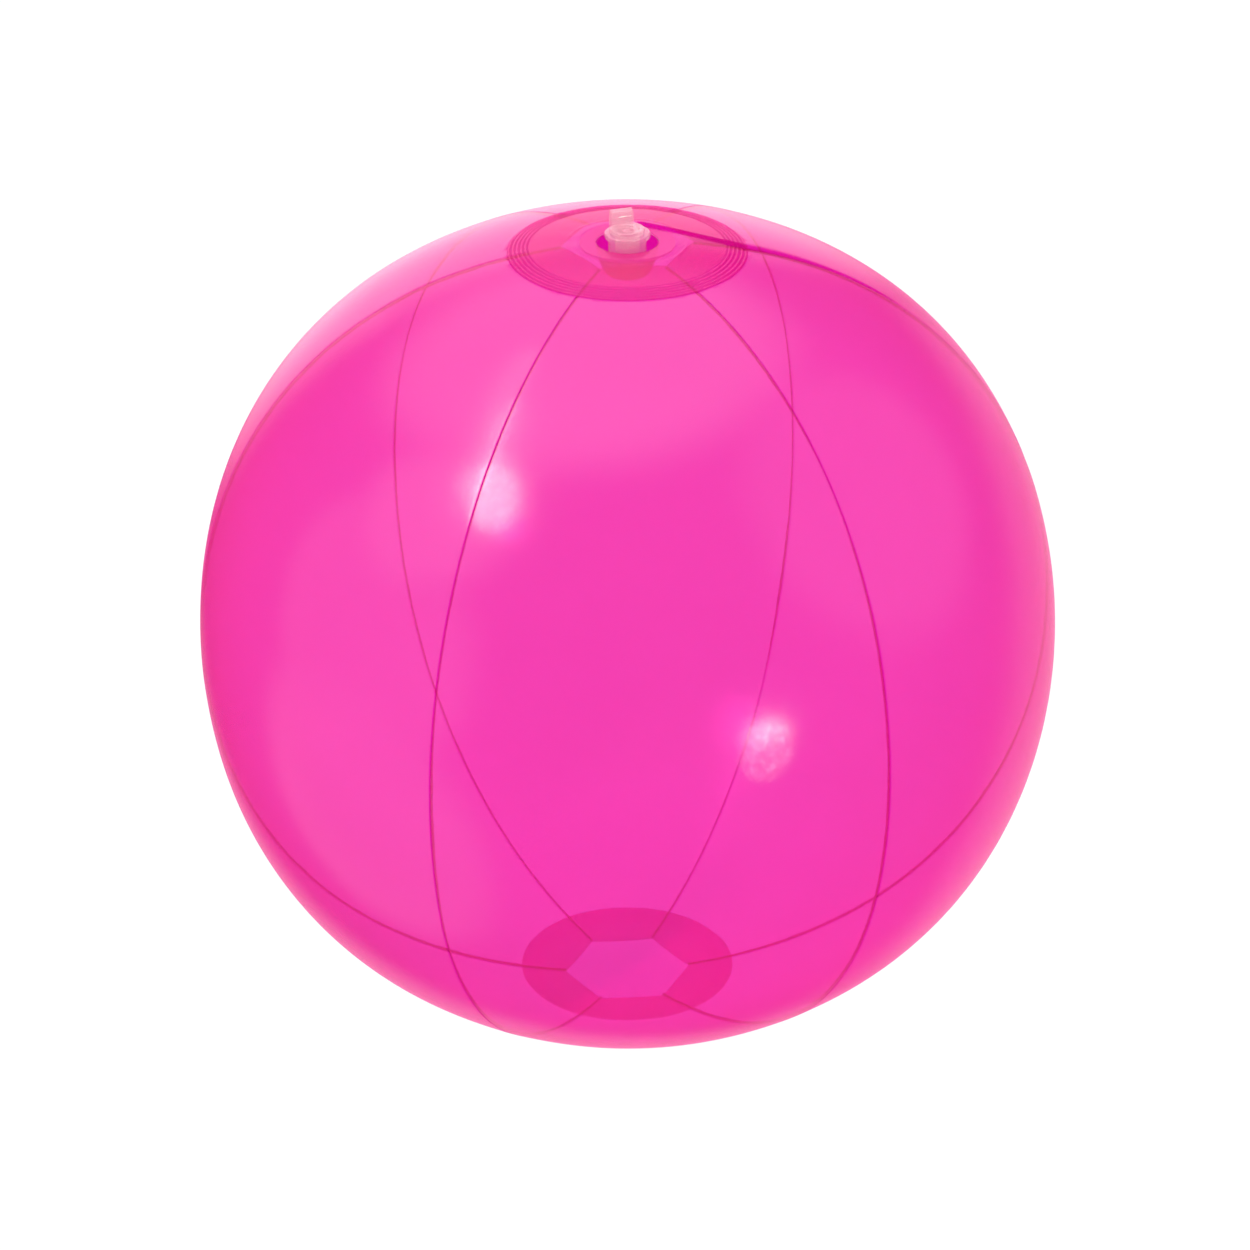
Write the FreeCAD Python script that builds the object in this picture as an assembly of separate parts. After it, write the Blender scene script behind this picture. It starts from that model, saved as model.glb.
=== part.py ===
"""Inflatable beach ball: six welded gores, two pole caps and a pop-up valve with a plug and a check flap.

Millimetres. +Z runs up the pole axis, and the origin is the middle of the flat patch the ball rests on.
"""
import FreeCAD
import Part
import math
import os

Vector = FreeCAD.Vector

# The inflated ball
EQUATOR_RADIUS = 140.0
POLE_FLATTENING = -0.0139  # share of P2, the second Legendre polynomial, in the meridian's radius
SHOULDER_SWELL = -0.0187  # share of P4, the fourth
FILM = 0.25  # thickness of the PVC film
WELD_GAP = 0.05  # between films that are welded together
CENTRE_TO_PATCH_RADIUS = 13.0  # radius of the flat patch that the ball's weight presses

# Gores and their seams
GORES = 6
HALF_GORE = math.pi / GORES
GORE_CROWN = 0.04  # how far the centre of a gore's section lies off the pole axis, as a share of the radius
FIN_DEPTH = 1.0  # how far a welded seam stands into the ball
HEXAGON_CORNER = 21.0  # from the pole axis to a corner of the opening that the gore ends leave
CROWN_FADES_IN = (math.radians(17.0), math.radians(34.0))  # polar angles between which the crown grows
ROWS_ALONG = 31
ROWS_ACROSS = 9

# Pole caps
TOP_CAP_RADIUS = 38.0
BOTTOM_CAP_RADIUS = 36.0
CAP_ROWS = 9

# Valve
FLANGE_RADIUS = 15.0
FLANGE_THICK = 0.9
MOAT_RADIUS = 10.0
STEM_RADIUS = 6.0
STEM_LENGTH = 13.5
RIM_RADIUS = 7.2
RIM_THICK = 1.5
RIM_STANDS = 3.0  # above the flat film round the valve
COLLAR_RADIUS = 6.7
COLLAR_HEIGHT = 1.4
PLUG_SEAT_RADIUS = 3.9
PLUG_SEAT_DEPTH = 6.0
NOZZLE_RADIUS = 3.3
WEB_THICK = 0.5

# Plug and strap
HINGE_REACH = 7.8  # from the stem's axis to the strap's root
HINGE_AZIMUTH = math.radians(102.0)
PLUG_DEPTH = 5.0
PLUG_CLEARANCE = 0.08
PLUG_ROWS = 6
HEAD_RADIUS = 5.4
HEAD_THICK = 1.3
HEAD_DISH_RADIUS = 3.7
HEAD_DISH_DEPTH = 0.5
HEAD_BOSS_RADIUS = 1.5
STRAP_WIDTH = 7.0
STRAP_THICK = 0.9
STRAP_LEG = 3.4
STRAP_BEND = 1.5
LUG_DROP = 0.8
LUG_WIDTH = 6.4
LUG_OVERHANG = 0.1  # past the strap's root
LUG_ROOT = 1.0  # how deep the lug goes into the stem

# Non-return disc
FLAP_THICK = 0.4
FLAP_RADIUS = 4.1
RING_INNER = 4.4
RING_OUTER = 6.2
NECK_WIDTH = 2.4
NECK_REACH = 4.35
NECK_SLOT_WIDTH = 3.2
NECK_SLOT_REACH = 5.0


def meridian_radius(theta):
    """Distance from the ball's centre to the film's outside, at a polar angle from the top."""
    c = math.cos(theta)
    p2 = (3 * c**2 - 1) / 2
    p4 = (35 * c**4 - 30 * c**2 + 3) / 8
    return EQUATOR_RADIUS * (1 + POLE_FLATTENING * p2 + SHOULDER_SWELL * p4)


def solve(function, low, high):
    """The root of a function that grows from below zero to above it."""
    for _ in range(60):
        middle = (low + high) / 2
        if function(middle) < 0:
            low = middle
        else:
            high = middle
    return (low + high) / 2


def angle_at(radius, offset):
    """Polar angle where the meridian, moved outwards by offset, is this far from the pole axis."""
    return solve(lambda t: (meridian_radius(t) + offset) * math.sin(t) - radius, 0, math.pi / 2)


def height_at(radius, offset):
    """Height of the moved meridian above the ball's centre, at this distance from the pole axis."""
    theta = angle_at(radius, offset)
    return (meridian_radius(theta) + offset) * math.cos(theta)


# The poles are alike, so the same heights serve both, up from the centre or down from it.
CAP_INSIDE = WELD_GAP
CAP_OUTSIDE = WELD_GAP + FILM
CENTRE_HEIGHT = height_at(CENTRE_TO_PATCH_RADIUS, CAP_OUTSIDE)
CENTRE = Vector(0, 0, CENTRE_HEIGHT)
VALVE_FILM_TOP = CENTRE_HEIGHT + height_at(FLANGE_RADIUS, CAP_OUTSIDE)
VALVE_FILM_UNDER = CENTRE_HEIGHT + height_at(FLANGE_RADIUS, CAP_INSIDE)
RIM_TOP = VALVE_FILM_TOP + RIM_STANDS
STEM_BOTTOM = RIM_TOP - STEM_LENGTH


def revolved(points_and_edges):
    """The solid turned about the pole axis from a closed outline in the XZ plane."""
    face = Part.Face(Part.Wire(points_and_edges))
    return face.revolve(Vector(0, 0, 0), Vector(0, 0, 1), 360)


def outline(corners):
    """A closed outline of straight edges through (radius, height) corners."""
    points = [Vector(r, 0, z) for r, z in corners]
    return Part.makePolygon(points + points[:1]).Edges


def spline(points):
    curve = Part.BSplineCurve()
    curve.interpolate(points)
    return curve.toShape()


def crown_share(theta):
    """0 under the caps, where the gores lie flush, and 1 over the rest of the gore."""
    start, full = CROWN_FADES_IN
    from_pole = min(theta, math.pi - theta)
    t = min(max((from_pole - start) / (full - start), 0), 1)
    return t * t * (3 - 2 * t)


def gore_point(theta, psi, inset):
    """A point on one gore's film, inset below its outside. psi is the azimuth from the gore's middle."""
    radius = meridian_radius(theta) - inset
    section = GORE_CROWN * math.cos(psi)
    section += math.sqrt((1 - GORE_CROWN) ** 2 - (GORE_CROWN * math.sin(psi)) ** 2)
    out = radius * math.sin(theta) * (1 - crown_share(theta) * (1 - section))
    return Vector(out * math.cos(psi), out * math.sin(psi), CENTRE_HEIGHT + radius * math.cos(theta))


def gore_row(share, inset, from_seam):
    """Points along a gore from its top end to its bottom end.

    share is -1 and 1 at the seams. from_seam is how far the row's own edge lies from the seam's plane.
    """
    def azimuth(theta):
        out = (meridian_radius(theta) - inset) * math.sin(theta)
        return share * (HALF_GORE - math.asin(from_seam / out))

    end_plane = HEXAGON_CORNER * math.cos(HALF_GORE)
    first = solve(lambda t: gore_point(t, azimuth(t), inset).x - end_plane, 0.05, math.pi / 2)
    last = math.pi - first
    thetas = [first + (last - first) * i / (ROWS_ALONG - 1) for i in range(ROWS_ALONG)]
    return [gore_point(t, azimuth(t), inset) for t in thetas]


def film_face(inset, from_seam):
    """One side of a gore's film, from seam to seam."""
    shares = [2 * i / (ROWS_ACROSS - 1) - 1 for i in range(ROWS_ACROSS)]
    surface = Part.BSplineSurface()
    surface.interpolate([gore_row(share, inset, from_seam) for share in shares])
    return surface


def side_curves(side, outer, inner):
    """The four long edges of one welded edge: outside corner, fin tip, fin tip's back and inside corner."""
    iso = 1 if side > 0 else 0
    outside = outer.uIso(outer.bounds()[iso]).toShape()
    inside = inner.uIso(inner.bounds()[iso]).toShape()
    tip = FILM + FIN_DEPTH
    return [
        outside,
        spline(gore_row(side, tip, 0)),
        spline(gore_row(side, tip, FILM)),
        inside,
    ]


def end_face(outer, inner, sides, last):
    """The flat end of a gore, all round its film and fins."""
    bound = 3 if last else 2
    place = -1 if last else 0
    edges = [s.vIso(s.bounds()[bound]).toShape() for s in (outer, inner)]
    for curves in sides:
        ends = [c.Vertexes[place].Point for c in curves]
        edges += [Part.makeLine(a, b) for a, b in zip(ends, ends[1:])]
    return Part.Face(Part.Wire(Part.__sortEdges__(edges)))


def gore():
    """One gore with its middle on +X: film, and both fins."""
    outer = film_face(0, 0)
    inner = film_face(FILM, FILM)
    sides = [side_curves(side, outer, inner) for side in (-1, 1)]
    faces = [outer.toShape(), inner.toShape()]
    for curves in sides:
        faces += [Part.makeRuledSurface(a, b) for a, b in zip(curves, curves[1:])]
    faces += [end_face(outer, inner, sides, last) for last in (False, True)]
    shell = Part.makeShell(faces)
    shell.sewShape()
    solid = Part.makeSolid(shell)
    if solid.Volume < 0:
        solid.reverse()
    return solid


def cap_edge_curve(flat_radius, cap_radius, offset):
    """The curved part of a cap's section, from its flat middle out to its rim."""
    first = angle_at(flat_radius, offset)
    last = angle_at(cap_radius, offset)
    points = []
    for i in range(CAP_ROWS):
        theta = first + (last - first) * i / (CAP_ROWS - 1)
        radius = meridian_radius(theta) + offset
        points.append(Vector(radius * math.sin(theta), 0, radius * math.cos(theta)))
    return points


def cap(hole_radius, flat_radius, cap_radius):
    """A film disc that follows the pole, with a flat middle, above a centre at the origin."""
    under = cap_edge_curve(flat_radius, cap_radius, CAP_INSIDE)
    over = cap_edge_curve(flat_radius, cap_radius, CAP_OUTSIDE)
    inner_low = Vector(hole_radius, 0, under[0].z)
    inner_high = Vector(hole_radius, 0, over[0].z)
    edges = [
        Part.makeLine(inner_low, under[0]),
        spline(under),
        Part.makeLine(under[-1], over[-1]),
        spline(over),
        Part.makeLine(over[0], inner_high),
        Part.makeLine(inner_high, inner_low),
    ]
    return revolved(Part.__sortEdges__(edges))


def top_cap():
    solid = cap(MOAT_RADIUS, FLANGE_RADIUS, TOP_CAP_RADIUS)
    solid.translate(CENTRE)
    return solid


def bottom_cap():
    solid = cap(0, CENTRE_TO_PATCH_RADIUS, BOTTOM_CAP_RADIUS)
    solid.rotate(Vector(0, 0, 0), Vector(1, 0, 0), 180)
    solid.translate(CENTRE)
    return solid


def valve_flange():
    """A flat ring welded under the top cap, open at the moat."""
    top = VALVE_FILM_UNDER - WELD_GAP
    bottom = top - FLANGE_THICK
    corners = [(MOAT_RADIUS, bottom), (FLANGE_RADIUS, bottom), (FLANGE_RADIUS, top), (MOAT_RADIUS, top)]
    return revolved(outline(corners))


def valve_web():
    """The folded-down wall from the flange's inner edge to the collar at the stem's foot."""
    top = VALVE_FILM_UNDER - WELD_GAP
    bottom = STEM_BOTTOM + COLLAR_HEIGHT / 4
    outer_top = MOAT_RADIUS - WELD_GAP
    inner_bottom = COLLAR_RADIUS + WELD_GAP
    corners = [
        (inner_bottom, bottom),
        (inner_bottom + WEB_THICK, bottom),
        (outer_top, top - FLANGE_THICK / 2),
        (outer_top, top),
        (outer_top - WEB_THICK, top),
        (inner_bottom, bottom + WEB_THICK),
    ]
    return revolved(outline(corners))


def stem_tube():
    """Stem, rim and foot collar, with a wide seat for the plug above a narrower bore for a nozzle."""
    step = RIM_TOP - PLUG_SEAT_DEPTH
    collar_top = STEM_BOTTOM + COLLAR_HEIGHT
    rim_under = RIM_TOP - RIM_THICK
    corners = [
        (NOZZLE_RADIUS, STEM_BOTTOM),
        (COLLAR_RADIUS, STEM_BOTTOM),
        (COLLAR_RADIUS, collar_top),
        (STEM_RADIUS, collar_top),
        (STEM_RADIUS, rim_under),
        (RIM_RADIUS, rim_under),
        (RIM_RADIUS, RIM_TOP),
        (PLUG_SEAT_RADIUS, RIM_TOP),
        (PLUG_SEAT_RADIUS, step),
        (NOZZLE_RADIUS, step),
    ]
    return revolved(outline(corners))


def turned_to_hinge(solid):
    """Turns a solid made with its strap side on +X to where the strap is."""
    solid.rotate(Vector(0, 0, 0), Vector(0, 0, 1), math.degrees(HINGE_AZIMUTH))
    return solid


def valve_stem():
    """The stem with the lug that carries the strap's root."""
    start = STEM_RADIUS - LUG_ROOT
    length = HINGE_REACH + LUG_OVERHANG - start
    low = RIM_TOP - RIM_THICK
    lug = Part.makeBox(length, LUG_WIDTH, RIM_THICK - LUG_DROP, Vector(start, -LUG_WIDTH / 2, low))
    return stem_tube().fuse(turned_to_hinge(lug)).removeSplitter()


def plug():
    """Dished head with a boss, and a rounded nose that swings out of its seat about the strap's root."""
    swing = HINGE_REACH + PLUG_SEAT_RADIUS - PLUG_CLEARANCE
    nose = []
    for i in range(PLUG_ROWS):
        depth = PLUG_DEPTH * i / (PLUG_ROWS - 1)
        nose.append(Vector(math.sqrt(swing**2 - depth**2) - HINGE_REACH, 0, RIM_TOP - depth))
    seat = RIM_TOP + WELD_GAP
    top = seat + HEAD_THICK
    dish = top - HEAD_DISH_DEPTH
    head = [
        (nose[0].x, seat),
        (HEAD_RADIUS, seat),
        (HEAD_RADIUS, top),
        (HEAD_DISH_RADIUS, top),
        (HEAD_DISH_RADIUS, dish),
        (HEAD_BOSS_RADIUS, dish),
        (HEAD_BOSS_RADIUS, top),
        (0, top),
        (0, nose[-1].z),
        (nose[-1].x, nose[-1].z),
    ]
    corners = [Vector(r, 0, z) for r, z in head]
    straight = Part.makePolygon(corners).Edges
    return revolved(Part.__sortEdges__(straight + [spline(nose), Part.makeLine(nose[0], corners[0])]))


def plug_strap():
    """A flat band that stands up from its rounded root, bends over and comes down on the plug's head."""
    half = STRAP_THICK / 2
    root = Vector(HINGE_REACH, 0, RIM_TOP)
    bend_centre = root + Vector(-STRAP_BEND, 0, STRAP_LEG)
    outer = STRAP_BEND + half
    inner = STRAP_BEND - half
    head_top = RIM_TOP + WELD_GAP + HEAD_THICK
    far = bend_centre.x - STRAP_BEND
    outer_right = Vector(root.x + half, 0, bend_centre.z)
    inner_right = Vector(root.x - half, 0, bend_centre.z)
    outer_left = Vector(far - half, 0, bend_centre.z)
    inner_left = Vector(far + half, 0, bend_centre.z)
    foot_left = Vector(far - half, 0, head_top)
    foot_right = Vector(far + half, 0, head_top)
    root_right = root + Vector(half, 0, 0)
    root_left = root - Vector(half, 0, 0)
    edges = [
        Part.Arc(root_left, root - Vector(0, 0, half), root_right).toShape(),
        Part.makeLine(root_right, outer_right),
        Part.Arc(outer_right, bend_centre + Vector(0, 0, outer), outer_left).toShape(),
        Part.makeLine(outer_left, foot_left),
        Part.makeLine(foot_left, foot_right),
        Part.makeLine(foot_right, inner_left),
        Part.Arc(inner_left, bend_centre + Vector(0, 0, inner), inner_right).toShape(),
        Part.makeLine(inner_right, root_left),
    ]
    face = Part.Face(Part.Wire(edges))
    face.translate(Vector(0, -STRAP_WIDTH / 2, 0))
    return turned_to_hinge(face.extrude(Vector(0, STRAP_WIDTH, 0)))


def disc(radius):
    """The thickness of the non-return disc, under the stem, to this radius."""
    return Part.makeCylinder(radius, FLAP_THICK, Vector(0, 0, STEM_BOTTOM - WELD_GAP - FLAP_THICK))


def neck_block(reach, width):
    """A block across the disc's neck, on the side away from the strap."""
    low = STEM_BOTTOM - WELD_GAP - FLAP_THICK
    return Part.makeBox(reach, width, FLAP_THICK, Vector(-reach, -width / 2, low))


def flap_ring():
    """The welded part of the non-return disc, with room for the neck to bend."""
    ring = disc(RING_OUTER).cut(disc(RING_INNER))
    return turned_to_hinge(ring.cut(neck_block(NECK_SLOT_REACH, NECK_SLOT_WIDTH)))


def check_flap():
    """The flap that covers the bore from inside, with its neck."""
    neck = neck_block(NECK_REACH, NECK_WIDTH)
    return turned_to_hinge(disc(FLAP_RADIUS).fuse(neck).removeSplitter())


def write(node, shape):
    solids = shape.Solids
    if len(solids) != 1 or not shape.isValid():
        raise ValueError(f"{node}: {len(solids)} solids, valid {shape.isValid()}")
    solids[0].exportStep(os.path.join("parts", node + ".step"))
    print(f"{node}: {solids[0].Volume:.1f} mm3")


os.makedirs("parts", exist_ok=True)
first_gore = gore()
for number in range(GORES):
    placed = first_gore.copy()
    placed.rotate(Vector(0, 0, 0), Vector(0, 0, 1), math.degrees(HALF_GORE) * (2 * number + 1))
    write(f"gore_{number + 1}", placed)
write("top_cap", top_cap())
write("bottom_cap", bottom_cap())
write("valve_flange", valve_flange())
write("valve_web", valve_web())
write("valve_stem", valve_stem())
write("plug_strap", plug_strap())
write("plug", plug())
write("flap_ring", flap_ring())
write("check_flap", check_flap())
print(f"resting height of the centre {CENTRE_HEIGHT:.3f} mm, rim top {RIM_TOP:.3f} mm")
print(f"stem bottom {STEM_BOTTOM:.3f} mm, film top at the valve {VALVE_FILM_TOP:.3f} mm")
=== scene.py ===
"""Looks for an inflatable beach ball: clear pink film, welded seams and caps, and a soft clear valve."""
import math

import bpy
import numpy as np
from mathutils import Matrix, Vector


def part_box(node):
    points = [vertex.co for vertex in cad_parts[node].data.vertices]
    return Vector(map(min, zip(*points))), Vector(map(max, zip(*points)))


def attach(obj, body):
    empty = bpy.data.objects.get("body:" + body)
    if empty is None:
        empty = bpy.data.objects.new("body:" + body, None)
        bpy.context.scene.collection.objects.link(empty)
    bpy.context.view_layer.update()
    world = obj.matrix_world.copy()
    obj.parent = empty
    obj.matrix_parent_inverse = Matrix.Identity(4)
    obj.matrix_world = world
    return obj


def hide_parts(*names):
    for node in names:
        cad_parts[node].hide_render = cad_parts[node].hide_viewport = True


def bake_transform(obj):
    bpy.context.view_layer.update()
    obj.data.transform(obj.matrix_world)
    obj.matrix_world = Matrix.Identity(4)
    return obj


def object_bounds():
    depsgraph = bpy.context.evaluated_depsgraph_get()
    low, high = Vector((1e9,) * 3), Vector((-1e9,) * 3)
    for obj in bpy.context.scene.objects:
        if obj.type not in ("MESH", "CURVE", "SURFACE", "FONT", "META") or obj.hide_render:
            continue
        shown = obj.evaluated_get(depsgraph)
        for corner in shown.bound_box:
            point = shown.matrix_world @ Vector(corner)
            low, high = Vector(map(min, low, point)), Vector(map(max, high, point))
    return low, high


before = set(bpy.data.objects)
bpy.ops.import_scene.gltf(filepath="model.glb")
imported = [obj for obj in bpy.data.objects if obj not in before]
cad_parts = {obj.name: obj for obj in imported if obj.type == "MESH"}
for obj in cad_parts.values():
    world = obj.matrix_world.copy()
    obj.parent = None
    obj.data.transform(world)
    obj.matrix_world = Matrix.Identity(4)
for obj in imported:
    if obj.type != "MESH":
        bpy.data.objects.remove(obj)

CAD_LOW, CAD_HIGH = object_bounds()
MM = 0.001

# The ball's own numbers, as the CAD model has them
POLE_FLATTENING = -0.0139
SHOULDER_SWELL = -0.0187
GORE_CROWN = 0.04
CROWN_FADES_IN = (math.radians(17.0), math.radians(34.0))
GORES = 6
HALF_GORE = math.pi / GORES
FILM = 0.25 * MM
WELD_GAP = 0.05 * MM
FIN_DEPTH = 1.0 * MM
HEXAGON_CORNER = 21.0 * MM
WEB_THICK = 0.5 * MM
STEM_RADIUS = 6.0 * MM
RIM_THICK = 1.5 * MM
COLLAR_RADIUS = 6.7 * MM
COLLAR_HEIGHT = 1.4 * MM
PLUG_SEAT_RADIUS = 3.9 * MM
PLUG_SEAT_DEPTH = 6.0 * MM
NOZZLE_RADIUS = 3.3 * MM
RIM_RADIUS = 7.2 * MM
HINGE_REACH = 7.8 * MM
HINGE_AZIMUTH = math.radians(102.0)
LUG_DROP = 0.8 * MM
LUG_WIDTH = 6.4 * MM
STRAP_WIDTH = 7.0 * MM
STRAP_THICK = 0.9 * MM
STRAP_BEND = 1.5 * MM
STRAP_LEG = 3.4 * MM
PLUG_CLEARANCE = 0.08 * MM
NECK_WIDTH = 2.4 * MM
PATCH_RADIUS = 13.0 * MM

# Places read from the frame
GORE_LOW, GORE_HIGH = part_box("gore_2")
EQUATOR = GORE_HIGH.y
CENTRE = Vector((0, 0, (GORE_LOW.z + GORE_HIGH.z) / 2))
TOP_CAP_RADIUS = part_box("top_cap")[1].x
BOTTOM_CAP_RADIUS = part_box("bottom_cap")[1].x
FLANGE_LOW, FLANGE_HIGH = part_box("valve_flange")
FLANGE_RADIUS = FLANGE_HIGH.x
MOAT_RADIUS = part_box("valve_web")[1].x + WELD_GAP
STEM_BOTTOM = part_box("valve_stem")[0].z
RIM_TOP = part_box("valve_stem")[1].z
PLUG_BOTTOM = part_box("plug")[0].z
HEAD_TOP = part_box("plug")[1].z
HEAD_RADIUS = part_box("plug")[1].x
DISC_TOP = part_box("flap_ring")[1].z
DISC_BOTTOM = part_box("flap_ring")[0].z
RING_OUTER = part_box("flap_ring")[1].x

# Fine shape of the film, which the CAD model leaves out
SEAM_DRIFT = (-0.78, -0.22, 0.52, 1.2, -0.8, -0.18)  # degrees that each seam strays from even spacing
SEAM_LIFT = 0.28 * MM
LIFT_WIDTH = 6.0 * MM
NOTCH_DEPTH = 0.06 * MM
NOTCH_WIDTH = 0.8 * MM
PUCKER = 0.035 * MM
PUCKER_REACH = 11.0 * MM
SWELL = 0.10 * MM
SEAM_GAP = 0.02 * MM
CORNER = 0.20 * MM
INNER_CORNER = 0.08 * MM
# Darker film along the seams: partly the weld's own denser film, partly painted shade of the groove at each
# seam
SEAM_WELD_AND_SHADE = 0.8
RIDGES = 5
BAND_WIDTH = 6.6 * MM
RIDGE_HEIGHT = 0.14 * MM


def meridian(theta):
    """Distance from the ball's centre to the film's outside, at polar angles from the top."""
    c = np.cos(theta)
    p2 = (3 * c**2 - 1) / 2
    p4 = (35 * c**4 - 30 * c**2 + 3) / 8
    return EQUATOR * (1 + POLE_FLATTENING * p2 + SHOULDER_SWELL * p4)


THETA_TABLE = np.linspace(0, math.radians(60), 2000)
OUT_TABLE = meridian(THETA_TABLE) * np.sin(THETA_TABLE)


def angle_at(radius):
    """Polar angle where the film is this far from the pole axis."""
    return np.interp(radius, OUT_TABLE, THETA_TABLE)


WAVES = 4
SLOWEST_WAVE = 0.55
WAVE_STEP = 0.37
WAVE_FADE = 0.5
WAVE_SUM = 2.2
PHASE_STEP = 2.399


def wobble(x, seed, wavelength):
    """Smooth, repeatable unevenness between about -1 and 1 along a length."""
    total = np.zeros_like(x, dtype=float)
    for i in range(WAVES):
        rate = 2 * math.pi / wavelength * (SLOWEST_WAVE + WAVE_STEP * i)
        total = total + np.sin(rate * x + PHASE_STEP * (seed + 1) * (i + 1)) / (1 + WAVE_FADE * i)
    return total / WAVE_SUM


def swell(point_x, point_y, point_z):
    """Gentle unevenness all over the film, from three slanted waves."""
    a = wobble(point_x + 0.6 * point_z, seed=3, wavelength=55 * MM)
    b = wobble(point_y - 0.5 * point_z, seed=7, wavelength=47 * MM)
    c = wobble(point_z + 0.3 * point_x, seed=11, wavelength=61 * MM)
    return (a * b + b * c + c * a) / 2


def crown_share(theta):
    """Share of the gores' crown at a polar angle: none at the poles, full between the shoulders."""
    start, full = CROWN_FADES_IN
    from_pole = np.minimum(theta, math.pi - theta)
    t = np.clip((from_pole - start) / (full - start), 0, 1)
    return t * t * (3 - 2 * t)


def link(obj):
    bpy.context.scene.collection.objects.link(obj)
    return obj


def new_piece(name, points, faces, material, body, node, sharp=50, dense=None, bonded=None):
    """A mesh object for one sub-part, which rides on a body and stands for a CAD node."""
    mesh = bpy.data.meshes.new(name)
    mesh.from_pydata([tuple(p) for p in points], [], faces)
    for label, values in (("dense", dense), ("bonded", bonded)):
        if values is not None:
            layer = mesh.attributes.new(label, "FLOAT", "POINT")
            layer.data.foreach_set("value", np.asarray(values, dtype=np.float32))
    mesh.materials.append(material)
    mesh.shade_smooth()
    mesh.set_sharp_from_angle(angle=math.radians(sharp))
    mesh.validate()
    obj = link(bpy.data.objects.new(name, mesh))
    if body:
        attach(obj, body)
    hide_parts(node)
    return obj


def loop_rows_to_mesh(rows):
    """Points and faces of a closed tube from rows of closed loops, with both ends closed by strips."""
    count, around = rows.shape[:2]
    faces = []
    for i in range(count - 1):
        for j in range(around):
            k = (j + 1) % around
            faces.append((i * around + j, (i + 1) * around + j, (i + 1) * around + k, i * around + k))
    half = around // 2
    last = (count - 1) * around
    for j in range(half - 1):
        a, b = j, j + 1
        c, d = around - 2 - j, around - 1 - j
        faces.append((a, b, c, d))
        faces.append((last + d, last + c, last + b, last + a))
    return rows.reshape(-1, 3), faces


# Gores

SEAM_WANDER = 0.15 * MM
WANDER_LENGTH = 90 * MM
RIDGE_UNEVENNESS = 0.15
RIDGE_LENGTH = 35 * MM
PUCKER_LENGTH = 14 * MM
TIP_WAVE = 0.10
TIP_WAVE_LENGTH = 11 * MM
TIP_RIPPLE = 0.05
TIP_RIPPLE_LENGTH = 4 * MM
FIN_LEAN = 0.35 * MM
LEAN_LENGTH = 120 * MM
RIDGE_SEED, PUCKER_SEED, TIP_SEED, RIPPLE_SEED, LEAN_SEED = 20, 40, 60, 80, 90
FIN_STEPS = (1.0, 0.66, 0.33)
CORNER_STEPS = 5
GORE_ROWS = 230
GORE_ARC_COLUMNS = 41


def seam_azimuth(seam, theta):
    """Azimuth of a seam. Seam 0 leaves the pole along +X."""
    seam = seam % GORES
    drift = math.radians(SEAM_DRIFT[seam]) * np.sin(theta) ** 2
    wander = SEAM_WANDER * wobble(theta * EQUATOR, seam, WANDER_LENGTH) / EQUATOR
    return 2 * HALF_GORE * seam + drift + wander * np.sin(theta)


def seam_dip(seam, along, distance):
    """How far the film lies under its even curve beside a seam, which stands on a low ridge with a notch."""
    uneven = 1 + RIDGE_UNEVENNESS * wobble(along, seam + RIDGE_SEED, RIDGE_LENGTH)
    ridge = SEAM_LIFT * uneven * np.exp(-distance / LIFT_WIDTH)
    notch = NOTCH_DEPTH * np.exp(-distance / NOTCH_WIDTH)
    pucker = PUCKER * wobble(along, seam + PUCKER_SEED, PUCKER_LENGTH) * np.exp(-distance / PUCKER_REACH)
    return notch + pucker - ridge


def film_points(theta, azimuth, share, seams, depth):
    """Points of a gore's film. share is -1 to 1 from its first seam to its second."""
    radius = meridian(theta)
    psi = share * HALF_GORE
    section = GORE_CROWN * np.cos(psi)
    section = section + np.sqrt((1 - GORE_CROWN) ** 2 - (GORE_CROWN * np.sin(psi)) ** 2)
    fade = crown_share(theta)
    out = radius * np.sin(theta) * (1 - fade * (1 - section))
    along = theta * EQUATOR
    half_width = out * HALF_GORE
    dip = seam_dip(seams[0], along, (1 + share) * half_width)
    dip = dip + seam_dip(seams[1], along, (1 - share) * half_width)
    ux, uy, uz = np.sin(theta) * np.cos(azimuth), np.sin(theta) * np.sin(azimuth), np.cos(theta)
    x, y, z = out * np.cos(azimuth), out * np.sin(azimuth), CENTRE.z + radius * uz
    inset = depth + fade * (dip - SWELL * swell(x, y, z))
    return np.stack([x - ux * inset, y - uy * inset, z - uz * inset], axis=-1)


def fin_tip(seam, along):
    """Depth of a fin's uneven edge."""
    wave = TIP_WAVE * wobble(along, seam + TIP_SEED, TIP_WAVE_LENGTH)
    ripple = TIP_RIPPLE * wobble(along, seam + RIPPLE_SEED, TIP_RIPPLE_LENGTH)
    return FIN_DEPTH * (1 + wave + ripple)


def gore_columns():
    """The columns of one side of a gore, as (side, kind, value), from one fin's tip to the other's."""
    left = [("fin", step) for step in FIN_STEPS]
    left += [("corner", a) for a in np.linspace(math.pi / 2, 0, CORNER_STEPS)]
    arc = [("arc", math.sin(u * math.pi / 2)) for u in np.linspace(-1, 1, GORE_ARC_COLUMNS)[1:-1]]
    return [(-1, *c) for c in left] + [(0, *c) for c in arc] + [(1, *c) for c in reversed(left)]


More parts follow.
